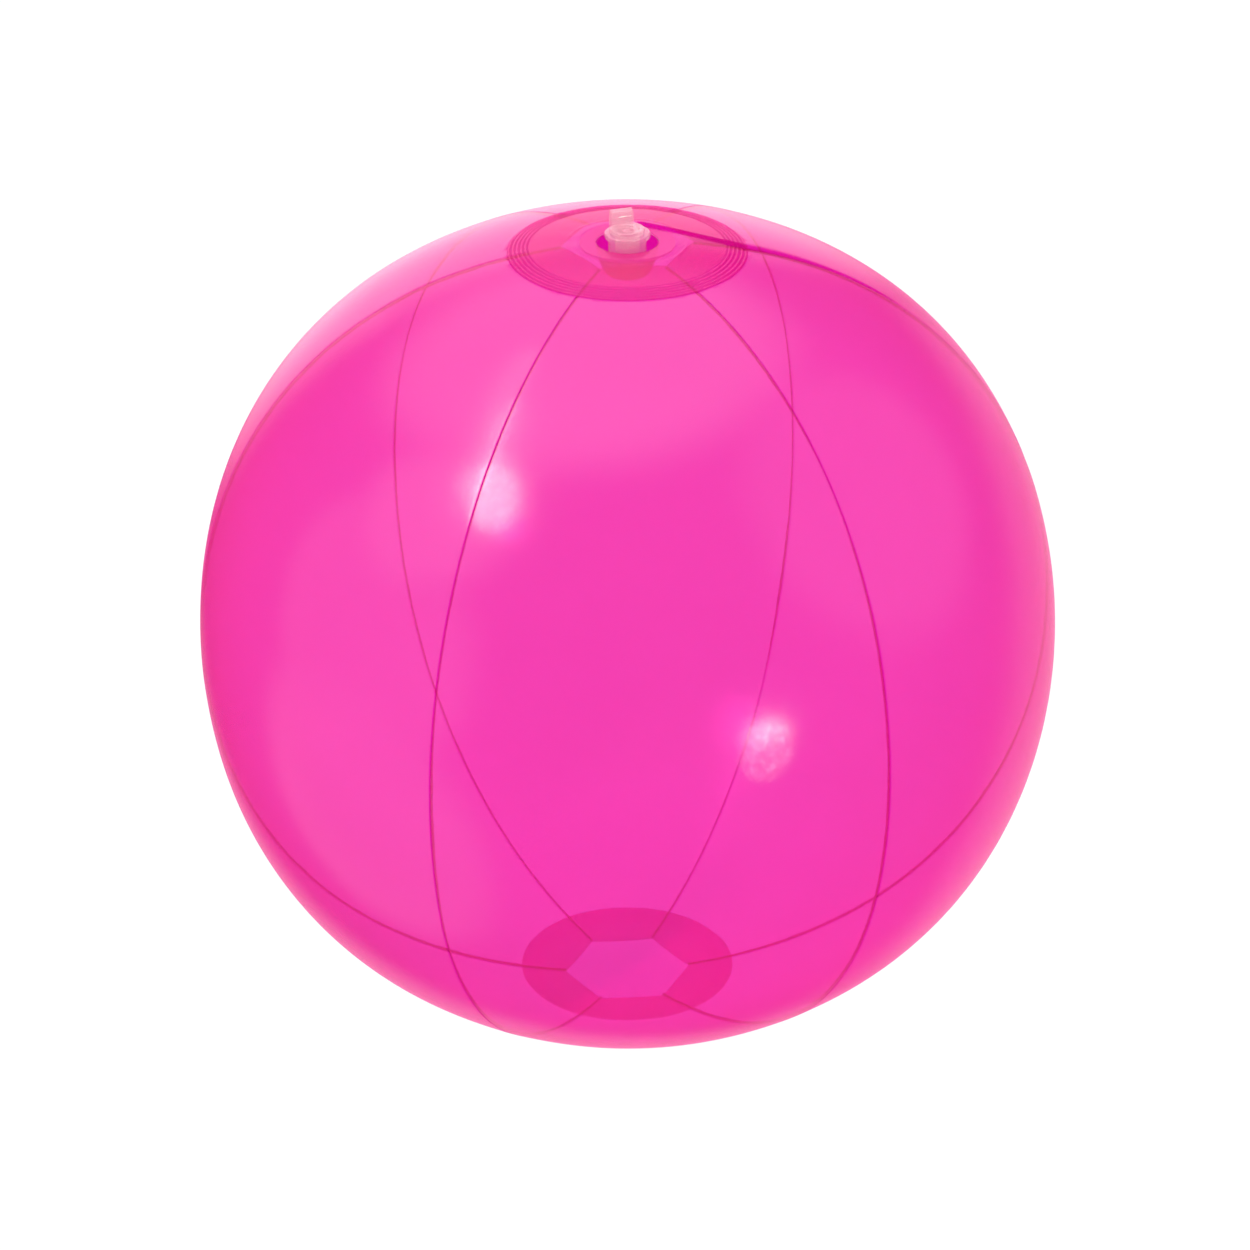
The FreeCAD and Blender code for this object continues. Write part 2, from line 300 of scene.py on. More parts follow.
def gore_side(number, thetas_share, columns, inner):
    """Rows of points on one side of a gore, outer or inner."""
    seams = (number, number + 1)
    skin = FILM if inner else 0.0
    corner = INNER_CORNER if inner else CORNER
    plane = HEXAGON_CORNER * math.cos(HALF_GORE)
    out = []
    for side, kind, value in columns:
        share = value if kind == "arc" else float(side)
        first = angle_at(plane / math.cos(share * HALF_GORE))
        theta = first + (math.pi - 2 * first) * thetas_share
        low = seam_azimuth(seams[0], theta)
        high = seam_azimuth(seams[1], theta) + (2 * math.pi if seams[1] == GORES else 0)
        spread = corner + SEAM_GAP + skin
        ring = meridian(theta) * np.sin(theta)
        if kind == "arc":
            low, high = low + spread / ring, high - spread / ring
            azimuth = low + (high - low) * (share + 1) / 2
            out.append(film_points(theta, azimuth, np.full_like(theta, share), seams, skin))
            continue
        seam = seams[0] if side < 0 else seams[1]
        azimuth = low if side < 0 else high
        along = theta * EQUATOR
        if kind == "corner":
            lateral = SEAM_GAP + skin + corner * (1 - math.sin(value))
            depth = skin + corner * (1 - math.cos(value))
        else:
            tip = fin_tip(seam, along)
            lateral = SEAM_GAP + skin
            depth = CORNER + (tip - CORNER) * value
        lean = FIN_LEAN * wobble(along, seam + LEAN_SEED, LEAN_LENGTH)
        lean = lean * (np.maximum(depth, 0) / FIN_DEPTH) ** 2
        base = film_points(theta, azimuth, np.full_like(theta, share), seams, depth)
        shift = lean - side * lateral
        base[..., 0] += -np.sin(azimuth) * shift
        base[..., 1] += np.cos(azimuth) * shift
        out.append(base)
    return np.stack(out, axis=1)


# The pleat that runs down from the top cap along the seam at +X, darkened partly as extra film and partly as
# painted shade along the seam
PLEAT_NARROWS = (math.radians(14), math.radians(40))
PLEAT_FADES = (math.radians(34), math.radians(44))
PLEAT_WIDTH = 2.4 * MM
PLEAT_LEAST_WIDTH = 0.3 * MM
PLEAT_ASIDE = 0.6 * MM
PLEAT_AND_SHADE_DENSITY = 1.6


def pleat_and_seam_shade(points):
    """Darker film where the top of the ball is pleated: partly extra film, partly painted shade along the
    seam.
    """
    x, y, z = points[:, 0], points[:, 1], points[:, 2]
    theta = np.arctan2(np.hypot(x, y), z - CENTRE.z)
    share = np.clip((theta - PLEAT_NARROWS[0]) / (PLEAT_NARROWS[1] - PLEAT_NARROWS[0]), 0, 1)
    width = PLEAT_WIDTH * (1 - share) + PLEAT_LEAST_WIDTH
    reach = np.clip((PLEAT_FADES[1] - theta) / (PLEAT_FADES[1] - PLEAT_FADES[0]), 0, 1)
    return PLEAT_AND_SHADE_DENSITY * reach * np.exp(-(((y - PLEAT_ASIDE) / width) ** 2)) * (x > 0)


def make_gore(number, material):
    """One gore: outer and inner film with a fin along each seam, closed all round."""
    columns = gore_columns()
    share = np.linspace(0, 1, GORE_ROWS)
    outer = gore_side(number, share, columns, inner=False)
    inner = gore_side(number, share, columns, inner=True)
    loops = np.concatenate([outer, inner[:, ::-1]], axis=1)
    points, faces = loop_rows_to_mesh(loops)
    # The fins and the film's corner at each seam are darker: the weld's denser film and painted shade of the
    # seam's groove
    fin = np.array([0.0 if kind == "arc" else SEAM_WELD_AND_SHADE for _, kind, _ in columns])
    dense = pleat_and_seam_shade(points) + np.tile(np.concatenate([fin, fin[::-1]]), GORE_ROWS)
    reach = np.hypot(points[:, 0], points[:, 1])
    edge = np.where(points[:, 2] > CENTRE.z, TOP_CAP_RADIUS, BOTTOM_CAP_RADIUS)
    near_pole = np.abs(points[:, 2] - CENTRE.z) > EQUATOR / 2
    return new_piece(
        f"film_gore_{number + 1}", points, faces, material, "ball", f"gore_{number + 1}",
        dense=dense, bonded=(reach < edge) & near_pole,
    )


# Caps

CREASE_START = np.array((5.6, 13.4)) * MM
CREASE_END = np.array((37.4, -0.6)) * MM
CREASE_SAG = 1.6 * MM
CREASE_HEIGHT = 0.7 * MM
CREASE_WIDTH = 1.1 * MM
CREASE_DENSITY = 3.2
CREASE_OVERRUN = 0.05
CREASE_SHADE_WIDTH = 1.45 * MM
TOOTH_HEIGHT = 0.12 * MM
TOOTH_WIDTH = 0.8 * MM
TOOTH_FADE = 2 * MM
FILM_WAVE = 0.05 * MM
VALVE_RING = (18.8 * MM, 0.5 * MM, 0.07 * MM)  # radius, width and height
VALVE_SHADE = (15.6 * MM, 0.35 * MM, 0.25)  # radius, width and extra density
CAP_DENSITY = 0.10
BAND_DENSITY = 0.40
TOP_BAND_DENSITY = 0.60
CAP_BONDED = 0.4
CAP_AROUND = 360
CAP_ACROSS = 130
CAP_CENTRE = 0.05 * MM
CAP_TRIM = 0.12 * MM
TRIM_WAVE = 0.1 * MM


def crease_distance(x, y):
    """Distance from the pleat that crosses the top cap, and how far along it."""
    line = CREASE_END - CREASE_START
    t = ((x - CREASE_START[0]) * line[0] + (y - CREASE_START[1]) * line[1]) / (line @ line)
    inside = np.clip(t, 0, 1)
    sag = CREASE_SAG * np.sin(math.pi * inside)
    nearest_x = CREASE_START[0] + inside * line[0] + sag * line[1] / np.hypot(*line)
    nearest_y = CREASE_START[1] + inside * line[1] - sag * line[0] / np.hypot(*line)
    return np.hypot(x - nearest_x, y - nearest_y), t


def ring_bump(radius, place, width):
    """A smooth bump, 1 high, round a cap at a radius."""
    return np.exp(-(((radius - place) / width) ** 2))


def cap_relief(radius, azimuth, edge, top):
    """Outward relief of a cap: weld ridges, seam bumps, and on top the valve's ring and the pleat."""
    start = edge - BAND_WIDTH
    pitch = BAND_WIDTH / RIDGES
    inside = (radius > start - 0.3 * pitch) & (radius < edge)
    wave = (0.5 + 0.5 * np.cos(2 * math.pi * (radius - start - pitch / 2) / pitch)) ** 2
    relief = RIDGE_HEIGHT * wave * inside
    nearest = np.round(azimuth / (2 * HALF_GORE)) * 2 * HALF_GORE
    lateral = radius * (azimuth - nearest)
    tooth = np.exp(-((lateral / TOOTH_WIDTH) ** 2)) * np.clip((radius - start) / TOOTH_FADE, 0, 1)
    relief = relief + TOOTH_HEIGHT * tooth * (0.4 + 0.6 * wave)
    uneven = wobble(azimuth * 30 * MM, seed=5, wavelength=20 * MM)
    relief = relief + FILM_WAVE * (1 + uneven) * (radius > FLANGE_RADIUS)
    if top:
        place, width, height = VALVE_RING
        relief = relief + height * ring_bump(radius, place, width)
        distance, _ = crease_distance(radius * np.cos(azimuth), radius * np.sin(azimuth))
        relief = relief + CREASE_HEIGHT * np.exp(-((distance / CREASE_WIDTH) ** 2))
    return relief


def cap_density(radius, azimuth, edge, top):
    """Extra film on a cap: squeezed rings in the weld band, and the pleat on top."""
    start = edge - BAND_WIDTH
    pitch = BAND_WIDTH / RIDGES
    wave = (0.5 - 0.5 * np.cos(2 * math.pi * (radius - start) / pitch)) ** 3
    band = (radius > start - 0.2 * pitch) & (radius < edge)
    dense = CAP_DENSITY + (TOP_BAND_DENSITY if top else BAND_DENSITY) * band * (1 - wave)
    if top:
        distance, t = crease_distance(radius * np.cos(azimuth), radius * np.sin(azimuth))
        crease = CREASE_DENSITY * np.exp(-((distance / CREASE_SHADE_WIDTH) ** 2))
        dense = dense + crease * (t > -CREASE_OVERRUN)
        place, width, extra = VALVE_SHADE
        dense = dense + extra * ring_bump(radius, place, width)
    return dense


def cap_surface(radius, azimuth, lift, flat, edge, top):
    """Points of a cap's film, above the centre, whose middle is flat out to the flat radius."""
    curved = np.maximum(radius, flat)
    theta = np.interp(curved, OUT_TABLE + lift * np.sin(THETA_TABLE), THETA_TABLE)
    height = (meridian(theta) + lift) * np.cos(theta)
    height = height + cap_relief(radius, azimuth, edge, top)
    return np.stack([radius * np.cos(azimuth), radius * np.sin(azimuth), height], axis=-1)


def make_cap(name, node, hole, flat, edge, material, top):
    """A cap's film disc, with a valve hole or closed in the middle."""
    around = CAP_AROUND
    azimuth = np.linspace(0, 2 * math.pi, around, endpoint=False)
    share = np.linspace(0, 1, CAP_ACROSS)
    start = max(hole, CAP_CENTRE)
    trimmed = edge - CAP_TRIM + TRIM_WAVE * wobble(azimuth * edge, seed=2, wavelength=20 * MM)
    rings, densities = [], []
    for lift, shares in ((WELD_GAP + FILM, share), (WELD_GAP, share[::-1])):
        for s in shares:
            radius = start + (trimmed - start) * s
            rings.append(cap_surface(radius, azimuth, lift, flat, edge, top))
            densities.append(cap_density(radius, azimuth, edge, top))
    points = np.stack(rings)
    if not top:
        points[..., 1] *= -1
        points[..., 2] *= -1
    points[..., 2] += CENTRE.z
    count = len(rings)
    faces = []
    for i in range(count if hole else count - 1):
        n = (i + 1) % count
        for j in range(around):
            k = (j + 1) % around
            faces.append((i * around + j, n * around + j, n * around + k, i * around + k))
    if not hole:
        for j in range(around):
            k = (j + 1) % around
            faces.append((count * around, j, k))
            faces.append((count * around + 1, (count - 1) * around + k, (count - 1) * around + j))
    centres = points[[0, -1]].mean(axis=1)
    points = points.reshape(-1, 3) if hole else np.concatenate([points.reshape(-1, 3), centres])
    dense = np.resize(np.stack(densities).reshape(-1), len(points))
    return new_piece(
        name, points, faces, material, "ball", node, dense=dense, bonded=[CAP_BONDED] * len(points)
    )


# Turned parts of the valve

FLANGE_ROUNDING = 0.25 * MM
WEB_STEPS = 22
WEB_BULGE = 0.55 * MM
WEB_CURVE = 1.15
WEB_UNEVENNESS = 0.006
# Density for the web, which is drawn in the pink film: painted shade for the shadowed moat round the valve
WEB_PAINTED_SHADE = 0.9
STEM_ROUNDING = 0.45 * MM
SMALL_CHAMFER = 0.3 * MM
RIM_CHAMFER = 0.4 * MM
MOUTH_CHAMFER = (0.9 * MM, 0.25 * MM)
MOUTH_SLOPE = 0.02 * MM
LUG_ROOT = 0.4 * MM
HEAD_ROUNDING = 0.35 * MM
DISH_DEPTH = 0.5 * MM
DISH_LIP = 1.3 * MM
DISH_SLOPE = 0.7 * MM
BOSS_RADIUS = 1.3 * MM
BOSS_SLOPE = 0.6 * MM
BOSS_HEIGHT = 0.05 * MM
BOSS_TIP = 0.15 * MM
NOSE_STEPS = 9
NOSE_CHAMFER = 0.3 * MM
STRAP_FOOT = 0.1 * MM
STRAP_SOFTNESS = 0.8
DISC_HOLE_RADIUS = 4.4 * MM
DISC_BRIDGE_RADIUS = 5.2 * MM
DISC_ROUNDING = 0.1 * MM
DISC_GAP = math.radians(19)
RING_STEPS = 70
BRIDGE_STEPS = 12
FLAP_RADIUS = 4.1 * MM
FLAP_ROUNDING = 0.12 * MM
AXIS_RADIUS = 0.2 * MM
NECK_ROOT = 0.3 * MM
NECK_LENGTH = 1.35 * MM
NECK_THICKNESS = 0.9


def rounded(corners, reach, steps=4, closed=True):
    """An outline of (radius, height) corners with each corner rounded."""
    out = []
    count = len(corners)
    for i, corner in enumerate(corners):
        here = np.array(corner)
        if not closed and i in (0, count - 1):
            out.append(tuple(here))
            continue
        before = np.array(corners[i - 1]) - here
        after = np.array(corners[(i + 1) % count]) - here
        cut = min(reach, 0.45 * np.hypot(*before), 0.45 * np.hypot(*after))
        a = here + before / np.hypot(*before) * cut
        b = here + after / np.hypot(*after) * cut
        for s in np.linspace(0, 1, steps + 1):
            out.append(tuple((1 - s) ** 2 * a + 2 * s * (1 - s) * here + s**2 * b))
    return out


def turned(outline, around=72, uneven=0.0):
    """Points and faces of a closed outline turned about the pole axis."""
    points, faces = [], []
    azimuths = np.linspace(0, 2 * math.pi, around, endpoint=False)
    for a in azimuths:
        for i, (r, z) in enumerate(outline):
            push = 1 + uneven * math.sin(3 * a + 1) * math.sin(2 * a + i * 0.4)
            points.append((r * push * math.cos(a), r * push * math.sin(a), z))
    n = len(outline)
    for j in range(around):
        k = (j + 1) % around
        for i in range(n):
            m = (i + 1) % n
            faces.append((j * n + i, k * n + i, k * n + m, j * n + m))
    return points, faces


def solid_turned(outline, around):
    """A solid turned about the pole axis. The outline starts and ends near the axis, which it then meets."""
    n = len(outline)
    points, faces = turned(outline, around)
    faces = [f for f in faces if f[0] % n != n - 1]
    for tip, ring_place in ((outline[0][1], 0), (outline[-1][1], n - 1)):
        middle = len(points)
        points.append((0, 0, tip))
        for j in range(around):
            a, b = j * n + ring_place, (j + 1) % around * n + ring_place
            faces.append((middle, b, a) if ring_place == 0 else (middle, a, b))
    return points, faces


def merge(*shapes):
    """One list of points and faces from several shapes."""
    points, faces = [], []
    for some_points, some_faces in shapes:
        offset = len(points)
        points += [tuple(p) for p in some_points]
        faces += [tuple(i + offset for i in f) for f in some_faces]
    return points, faces


def to_hinge(points):
    """Turns points made with the strap's side on +X to where the strap is."""
    c, s = math.cos(HINGE_AZIMUTH), math.sin(HINGE_AZIMUTH)
    return [(x * c - y * s, x * s + y * c, z) for x, y, z in points]


def swept_band(path, width, thick, soft=0.3):
    """A flat band with rounded edges along a path in the XZ plane. Returns points and faces."""
    half_w, half_t = width / 2, thick / 2
    edge = min(half_t, half_w) * soft
    ring = rounded([(-half_w, -half_t), (half_w, -half_t), (half_w, half_t), (-half_w, half_t)], edge)
    points, faces = [], []
    path = np.array(path)
    for i, p in enumerate(path):
        ahead = path[min(i + 1, len(path) - 1)] - path[max(i - 1, 0)]
        ahead = ahead / np.hypot(*ahead)
        normal = np.array((ahead[1], -ahead[0]))
        for w, t in ring:
            points.append((p[0] + normal[0] * t, w, p[1] + normal[1] * t))
    n = len(ring)
    for i in range(len(path) - 1):
        for j in range(n):
            k = (j + 1) % n
            faces.append((i * n + j, (i + 1) * n + j, (i + 1) * n + k, i * n + k))
    faces.append(tuple(range(n)))
    faces.append(tuple(reversed(range((len(path) - 1) * n, len(path) * n))))
    return points, faces


def plate(inner, outer, low, high, reach):
    """The outline of a flat ring, in radius and height, with rounded edges."""
    return rounded([(inner, low), (outer, low), (outer, high), (inner, high)], reach)


def make_flange(material):
    outline = plate(MOAT_RADIUS, FLANGE_RADIUS, FLANGE_LOW.z, FLANGE_HIGH.z, FLANGE_ROUNDING)
    points, faces = turned(outline)
    return new_piece("soft_flange", points, faces, material, "ball", "valve_flange")


def make_web(material):
    """The web: a bulged wall from the flange to the stem's foot."""
    top = FLANGE_HIGH.z
    foot = STEM_BOTTOM + COLLAR_HEIGHT / 4
    outer = MOAT_RADIUS - WELD_GAP
    inner = COLLAR_RADIUS + WELD_GAP
    side = []
    for t in np.linspace(0, 1, WEB_STEPS):
        bulge = WEB_BULGE * math.sin(math.pi * t)
        r = outer - WEB_THICK / 2 + (inner - outer + WEB_THICK) * t**WEB_CURVE
        side.append((r + bulge, top - WEB_THICK / 2 + (foot - top + WEB_THICK) * t))
    side = np.array(side)
    ahead = np.gradient(side, axis=0)
    normal = np.stack([ahead[:, 1], -ahead[:, 0]], axis=1)
    normal = normal / np.hypot(normal[:, 0], normal[:, 1])[:, None]
    skin = WEB_THICK / 2
    outline = [tuple(p) for p in side + normal * skin] + [tuple(p) for p in (side - normal * skin)[::-1]]
    points, faces = turned(outline, uneven=WEB_UNEVENNESS)
    # The web's deep pink is painted shade of the moat, lit pink through the film, on a part of the clear
    # valve
    dense = [WEB_PAINTED_SHADE] * len(points)
    obj = new_piece("soft_web", points, faces, material, None, "valve_web", dense=dense)
    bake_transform(obj)
    return obj


def make_stem(material):
    """The stem's tube with its rim and foot, and the lug that the strap grows from."""
    step = RIM_TOP - PLUG_SEAT_DEPTH
    collar_top = STEM_BOTTOM + COLLAR_HEIGHT
    rim_under = RIM_TOP - RIM_THICK
    outline = rounded(
        [
            (NOZZLE_RADIUS, STEM_BOTTOM),
            (COLLAR_RADIUS, STEM_BOTTOM),
            (COLLAR_RADIUS, collar_top),
            (STEM_RADIUS, collar_top + SMALL_CHAMFER),
            (STEM_RADIUS, rim_under - RIM_CHAMFER),
            (RIM_RADIUS, rim_under),
            (RIM_RADIUS, RIM_TOP),
            (PLUG_SEAT_RADIUS + MOUTH_CHAMFER[0], RIM_TOP - MOUTH_SLOPE),
            (PLUG_SEAT_RADIUS, RIM_TOP - MOUTH_CHAMFER[1]),
            (PLUG_SEAT_RADIUS, step),
            (NOZZLE_RADIUS, step - SMALL_CHAMFER),
        ],
        STEM_ROUNDING,
    )
    tube = turned(outline, around=96)
    lug_top = RIM_TOP - LUG_DROP
    middle = (rim_under + lug_top) / 2
    path = [(x, middle) for x in np.linspace(STEM_RADIUS - LUG_ROOT, HINGE_REACH, 6)]
    lug_points, lug_faces = swept_band(path, LUG_WIDTH, lug_top - rim_under)
    points, faces = merge(tube, (to_hinge(lug_points), lug_faces))
    return new_piece("soft_stem", points, faces, material, "valve", "valve_stem", sharp=60)


def make_plug(material):
    """The plug: a dished head with a boss, and a nose curved so that it clears the bore as it swings."""
    swing = HINGE_REACH + PLUG_SEAT_RADIUS - PLUG_CLEARANCE
    depth = RIM_TOP - PLUG_BOTTOM
    seat = RIM_TOP + WELD_GAP
    nose = []
    for d in np.linspace(0, depth, NOSE_STEPS):
        nose.append((math.sqrt(swing**2 - d**2) - HINGE_REACH, RIM_TOP - d))
    head = rounded(
        [
            (nose[0][0], seat),
            (HEAD_RADIUS, seat),
            (HEAD_RADIUS, HEAD_TOP),
            (HEAD_RADIUS - DISH_LIP, HEAD_TOP),
            (HEAD_RADIUS - DISH_LIP - DISH_SLOPE, HEAD_TOP - DISH_DEPTH),
            (BOSS_RADIUS + BOSS_SLOPE, HEAD_TOP - DISH_DEPTH),
            (BOSS_RADIUS, HEAD_TOP + BOSS_HEIGHT),
            (BOSS_TIP, HEAD_TOP + 2 * BOSS_HEIGHT),
        ],
        HEAD_ROUNDING,
        closed=False,
    )
    foot = [(nose[-1][0] - NOSE_CHAMFER, PLUG_BOTTOM), (AXIS_RADIUS, PLUG_BOTTOM)]
    points, faces = solid_turned(foot[::-1] + nose[:0:-1] + head, around=96)
    return new_piece("soft_plug", points, faces, material, "plug", "plug", sharp=60)


def make_strap(material):
    """The loop behind the plug, running from the rim's lug to the plug's head."""
    foot_x = HINGE_REACH - 2 * STRAP_BEND
    bend_z = RIM_TOP + STRAP_LEG
    path = [(HINGE_REACH, RIM_TOP - LUG_DROP - STRAP_FOOT + t) for t in np.linspace(0, LUG_DROP, 4)]
    path += [(HINGE_REACH, RIM_TOP + t) for t in np.linspace(0.1, 1, 6) * STRAP_LEG]
    for a in np.linspace(0, math.pi, 13)[1:]:
        path.append((foot_x + STRAP_BEND * (1 + math.cos(a)), bend_z + STRAP_BEND * math.sin(a)))
    path += [(foot_x, bend_z - t) for t in np.linspace(0.2, 1, 6) * (bend_z - HEAD_TOP)]
    points, faces = swept_band(path, STRAP_WIDTH, STRAP_THICK, soft=STRAP_SOFTNESS)
    obj = new_piece("soft_strap", to_hinge(points), faces, material, None, "plug_strap", sharp=60)
    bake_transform(obj)
    return obj


def arc_band(outline, start, end, steps):
    """Points and faces of a closed outline turned part of the way round the pole axis, ends closed."""
    azimuths = np.linspace(start, end, steps)
    points = [(r * math.cos(a), r * math.sin(a), z) for a in azimuths for r, z in outline]
    n = len(outline)
    faces = []
    for j in range(steps - 1):
        for i in range(n):
            m = (i + 1) % n
            faces.append((j * n + i, (j + 1) * n + i, (j + 1) * n + m, j * n + m))
    faces.append(tuple(range(n)))
    faces.append(tuple(reversed(range((steps - 1) * n, steps * n))))
    return points, faces


def make_ring(material):
    """The welded ring of the non-return disc, narrower where the flap's neck joins it."""
    middle = HINGE_AZIMUTH + math.pi
    wide = plate(DISC_HOLE_RADIUS, RING_OUTER, DISC_BOTTOM, DISC_TOP, DISC_ROUNDING)
    narrow = plate(DISC_BRIDGE_RADIUS, RING_OUTER, DISC_BOTTOM, DISC_TOP, DISC_ROUNDING)
    ring = arc_band(wide, middle + DISC_GAP, middle + 2 * math.pi - DISC_GAP, RING_STEPS)
    bridge = arc_band(narrow, middle - DISC_GAP, middle + DISC_GAP, BRIDGE_STEPS)
    points, faces = merge(ring, bridge)
    return new_piece("disc_ring", points, faces, material, "valve", "flap_ring", sharp=60)


def make_flap(material):
    """The flap and its neck, which spans the cut in the disc to the ring."""
    low, high = DISC_BOTTOM, DISC_TOP
    corners = [(AXIS_RADIUS, low), (FLAP_RADIUS, low), (FLAP_RADIUS, high), (AXIS_RADIUS, high)]
    flap = solid_turned(rounded(corners, FLAP_ROUNDING, closed=False), around=64)
    middle = (low + high) / 2
    path = [(NECK_ROOT - FLAP_RADIUS - t, middle) for t in np.linspace(0, NECK_LENGTH, 8)]
    neck = swept_band(path, NECK_WIDTH, (high - low) * NECK_THICKNESS)
    points, faces = merge(flap, neck)
    obj = new_piece("disc_flap", to_hinge(points), faces, material, None, "check_flap", sharp=60)
    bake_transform(obj)
    return obj


# Materials

class Nodes:
    """The node tree of a material or a world, with short calls to add and join nodes."""

    def __init__(self, owner):
        owner.use_nodes = True
        self.owner = owner
        self.tree = owner.node_tree
        self.tree.nodes.clear()

    def add(self, kind, inputs=None, **settings):
        node = self.tree.nodes.new(kind)
        for key, value in settings.items():
            setattr(node, key, value)
        for key, value in (inputs or {}).items():
            if isinstance(value, bpy.types.NodeSocket):
                self.tree.links.new(value, node.inputs[key])
            else:
                node.inputs[key].default_value = value
        return node

    def math(self, operation, a, b, clamp=False):
        return self.add("ShaderNodeMath", {0: a, 1: b}, operation=operation, use_clamp=clamp).outputs[0]

    def mix_colour(self, factor, a, b):
        return self.add("ShaderNodeMix", {"Factor": factor, 6: a, 7: b}, data_type="RGBA").outputs[2]

    def mirror_share(self, head_on, edge, power=5.0):
        """A share that is head_on where a surface is seen square to it, and edge at a grazing angle."""
        facing = self.add("ShaderNodeLayerWeight", {"Blend": 0.5}).outputs["Facing"]
        steep = self.math("POWER", facing, power)
        return self.math("ADD", self.math("MULTIPLY", steep, edge - head_on), head_on)

    def noise(self, scale, detail=3.0):
        place = self.add("ShaderNodeTexCoord").outputs["Object"]
        inputs = {"Vector": place, "Scale": scale, "Detail": detail}
        return self.add("ShaderNodeTexNoise", inputs).outputs["Fac"]

    def finish(self, shader, output="ShaderNodeOutputMaterial"):
        self.add(output, {"Surface": shader})
        return self.owner


PATCH_SCALE = 28.0
FINE_DETAIL = 4.0
PATCH_TINT = 0.10
PATCH_SHADE = 0.93
GRAIN_HEIGHT = 0.4 * MM
EDGE_MILK = 1.6
MILK_POWER = 2.0
ROUGH_SPREAD = 0.6
ROUGH_BASE = 0.7
MUTED_GLOSS = 0.92


def clear_plastic(name, passed, passed_dense, haze, haze_dense, haze_share, mirror, roughness, bump, grain):
    """See-through soft plastic: tinted clear, a little milky, glossy, with fine unevenness."""
    n = Nodes(bpy.data.materials.new(name))
    patches = n.noise(PATCH_SCALE)
    fine = n.noise(grain, FINE_DETAIL)
    dense = n.add("ShaderNodeAttribute", attribute_name="dense").outputs["Fac"]
    dense = n.math("MINIMUM", dense, 1.0, clamp=True)
    bonded = n.add("ShaderNodeAttribute", attribute_name="bonded").outputs["Fac"]

    tint = n.mix_colour(dense, passed, passed_dense)
    tint = n.mix_colour(n.math("MULTIPLY", patches, PATCH_TINT), tint, passed_dense)
    clear = n.add("ShaderNodeBsdfTransparent", {"Color": tint}).outputs[0]

    milk = n.mix_colour(patches, haze, [c * PATCH_SHADE for c in haze[:3]] + [1.0])
    milk = n.mix_colour(dense, milk, haze_dense)
    relief = {"Height": fine, "Strength": bump, "Distance": GRAIN_HEIGHT}
    height = n.add("ShaderNodeBump", relief).outputs["Normal"]
    front = n.add("ShaderNodeBsdfDiffuse", {"Color": milk, "Normal": height}).outputs[0]
    through = n.add("ShaderNodeBsdfTranslucent", {"Color": milk, "Normal": height}).outputs[0]
    cloud = n.add("ShaderNodeMixShader", {0: 0.5, 1: front, 2: through}).outputs[0]
    milkiness = n.mirror_share(haze_share, EDGE_MILK * haze_share, MILK_POWER)
    body = n.add("ShaderNodeMixShader", {0: milkiness, 1: clear, 2: cloud}).outputs[0]

    rough = n.math("ADD", n.math("MULTIPLY", fine, roughness * ROUGH_SPREAD), roughness * ROUGH_BASE)
    shine = {"Color": (1, 1, 1, 1), "Roughness": rough, "Normal": height}
    gloss = n.add("ShaderNodeBsdfGlossy", shine).outputs[0]
    muted = n.math("MAXIMUM", bonded, dense)
    bare = n.math("SUBTRACT", 1.0, n.math("MULTIPLY", muted, MUTED_GLOSS))
    share = n.math("MULTIPLY", n.mirror_share(*mirror), bare)
    return n.finish(n.add("ShaderNodeMixShader", {0: share, 1: body, 2: gloss}).outputs[0])


def film_material():
    return clear_plastic(
        "pink_film",
        passed=(0.965, 0.54, 0.93, 1),
        passed_dense=(0.91, 0.11, 0.84, 1),
        haze=(1.0, 0.115, 0.30, 1),
        haze_dense=(0.80, 0.01, 0.33, 1),
        haze_share=0.17,
        mirror=(0.04, 0.65),
        roughness=0.17,
        bump=0.02,
        grain=500.0,
    )


def valve_material():
    return clear_plastic(
        "clear_valve",
        passed=(0.99, 0.87, 0.92, 1),
        passed_dense=(0.9, 0.5, 0.6, 1),
        haze=(1.0, 0.90, 0.92, 1),
        haze_dense=(0.95, 0.25, 0.45, 1),
        haze_share=0.24,
        mirror=(0.08, 0.9),
        roughness=0.07,
        bump=0.06,
        grain=1500.0,
    )


# Stage, light and camera

CAMERA_AZIMUTH = math.radians(-95.35)
CAMERA_ELEVATION = math.radians(27.96)
CAMERA_DISTANCE = 10.57 * EQUATOR
LENS_MM = 130.0
AIM_LEFT = 0.0054 * EQUATOR
AIM_DOWN = 0.0082 * EQUATOR
WHITE = 1.06
FLOOR_SIZE = 40.0
FLOOR_DROP = 0.05 * MM
FLOOR_GLOW = 0.99
FLOOR_GREY = 0.06
MIRROR_STEP = 0.01
MIRRORED_WHITE = (1.0, 0.96, 0.84, 1)
MIRRORED_PINK = (0.64, 0.042, 0.30, 1)
LIGHT_DISTANCE = 1.3
SEAM_WAY = (0.345, 0.940)
LIGHT_TINT = (1.0, 0.95, 0.62)


def direction(azimuth, elevation):
    """The direction at an azimuth and elevation."""
    return Vector((
        math.cos(elevation) * math.cos(azimuth),
        math.cos(elevation) * math.sin(azimuth),
        math.sin(elevation),
    ))


TO_CAMERA = direction(CAMERA_AZIMUTH, CAMERA_ELEVATION)
CAMERA_RIGHT = Vector((-math.sin(CAMERA_AZIMUTH), math.cos(CAMERA_AZIMUTH), 0))
CAMERA_UP = TO_CAMERA.cross(CAMERA_RIGHT)


def camera_way(right, up, towards):
    """A direction from its parts along the camera's own right, up and towards-the-camera."""
    return (CAMERA_RIGHT * right + CAMERA_UP * up + TO_CAMERA * towards).normalized()


